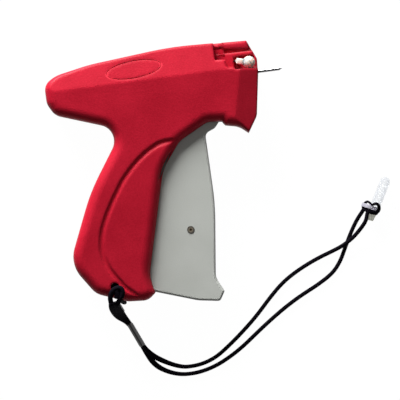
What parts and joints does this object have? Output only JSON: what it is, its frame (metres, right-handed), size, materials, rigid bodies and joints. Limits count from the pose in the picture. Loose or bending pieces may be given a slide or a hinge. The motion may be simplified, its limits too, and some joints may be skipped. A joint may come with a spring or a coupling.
{
  "type": "garment tag attacher",
  "caption": "Hand gun that pushes plastic tag fasteners through cloth: red two-part body, grey squeeze trigger, slit needle, ball lock lever, wrist strap and needle cap.",
  "frame": {"origin": "on the left side's flat face, straight below the needle's axis and 60 mm behind the nose", "axes": "+X along the needle to its tip, +Y to the top of the gun's head, +Z to the right side, away from the surface it lies on"},
  "size_m": [0.1977, 0.1964, 0.0316],
  "materials": {
    "red_plastic": "moulded, fine grain",
    "grey_plastic": "moulded, light grey-green",
    "black_plastic": "moulded",
    "white_plastic": "moulded, warm white",
    "hub_plastic": "moulded",
    "screw_steel": "bright zinc",
    "pin_steel": "ground",
    "rivet_brass": "worn, greyed",
    "link_steel": "stamped",
    "lever_steel": "stamped",
    "rod_steel": "drawn",
    "spring_steel": "spring wire",
    "blade_steel": "ground",
    "needle_steel": "polished",
    "strap_cord": "woven, near black",
    "crimp_steel": "dark, rolled",
    "cap_plastic": "milky, translucent"
  },
  "bodies": {
    "housing": {"right_shell": "red_plastic", "left_shell": "red_plastic", "shell_screws": "screw_steel", "trigger_pivot_pin": "pin_steel", "lever_pivot_pin": "pin_steel", "feed_wheel_shaft": "pin_steel", "feed_pawl": "spring_steel", "knife": "blade_steel", "needle": "needle_steel", "needle_hub": "hub_plastic", "lock_pin": "pin_steel", "return_spring": "spring_steel", "strap_knot": "strap_cord", "strap_tab": "strap_cord", "strap_crimp": "crimp_steel", "strap_strand_upper": "strap_cord", "strap_strand_lower": "strap_cord", "strap_hitch": "strap_cord", "needle_cap": "cap_plastic"},
    "trigger": {"trigger": "grey_plastic", "trigger_link_pin": "rivet_brass"},
    "links": {"drive_links": "link_steel"},
    "lever": {"drive_lever": "lever_steel", "link_lever_pin": "pin_steel", "slide_pin": "pin_steel"},
    "slide": {"slide_block": "black_plastic", "push_rod": "rod_steel"},
    "lock": {"needle_lock": "white_plastic"},
    "wheel": {"feed_wheel": "black_plastic"}
  },
  "joints": [
    {"name": "trigger_squeeze", "type": "hinge", "parent": "housing", "child": "trigger", "pos_m": [0.02854, -0.02051, 0.014], "axis": [0, 0, -1], "range_deg": [0, 10], "stiffness_Nm_per_rad": 1.2, "springref_deg": -8.59},
    {"name": "lever_swing", "type": "hinge", "parent": "housing", "child": "lever", "pos_m": [-0.0255, -0.071, 0.014], "axis": [0, 0, -1], "range_deg": [0, 29], "deforming": ["return_spring"]},
    {"name": "link_swing", "type": "hinge", "parent": "trigger", "child": "links", "pos_m": [0.00769, -0.0888, 0.014], "axis": [0, 0, 1], "range_deg": [0, 16.4]},
    {"name": "slide_travel", "type": "slide", "parent": "housing", "child": "slide", "axis": [1, 0, 0], "range_m": [0, 0.0385]},
    {"name": "needle_lock_turn", "type": "hinge", "parent": "housing", "child": "lock", "pos_m": [0.0484, 0.0076, 0.0205], "axis": [0, 0, 1], "range_deg": [0, 90]},
    {"name": "feed_wheel_turn", "type": "hinge", "parent": "housing", "child": "wheel", "pos_m": [0.0303, 0.0069, 0.014], "axis": [0, 0, 1], "continuous": true}
  ],
  "couplings": [
    {"joint": "lever_swing", "follows": "trigger_squeeze", "ratio": 2.895},
    {"joint": "link_swing", "follows": "trigger_squeeze", "ratio": 1.6318},
    {"joint": "slide_travel", "follows": "trigger_squeeze", "m_per_rad": 0.2203}
  ]
}
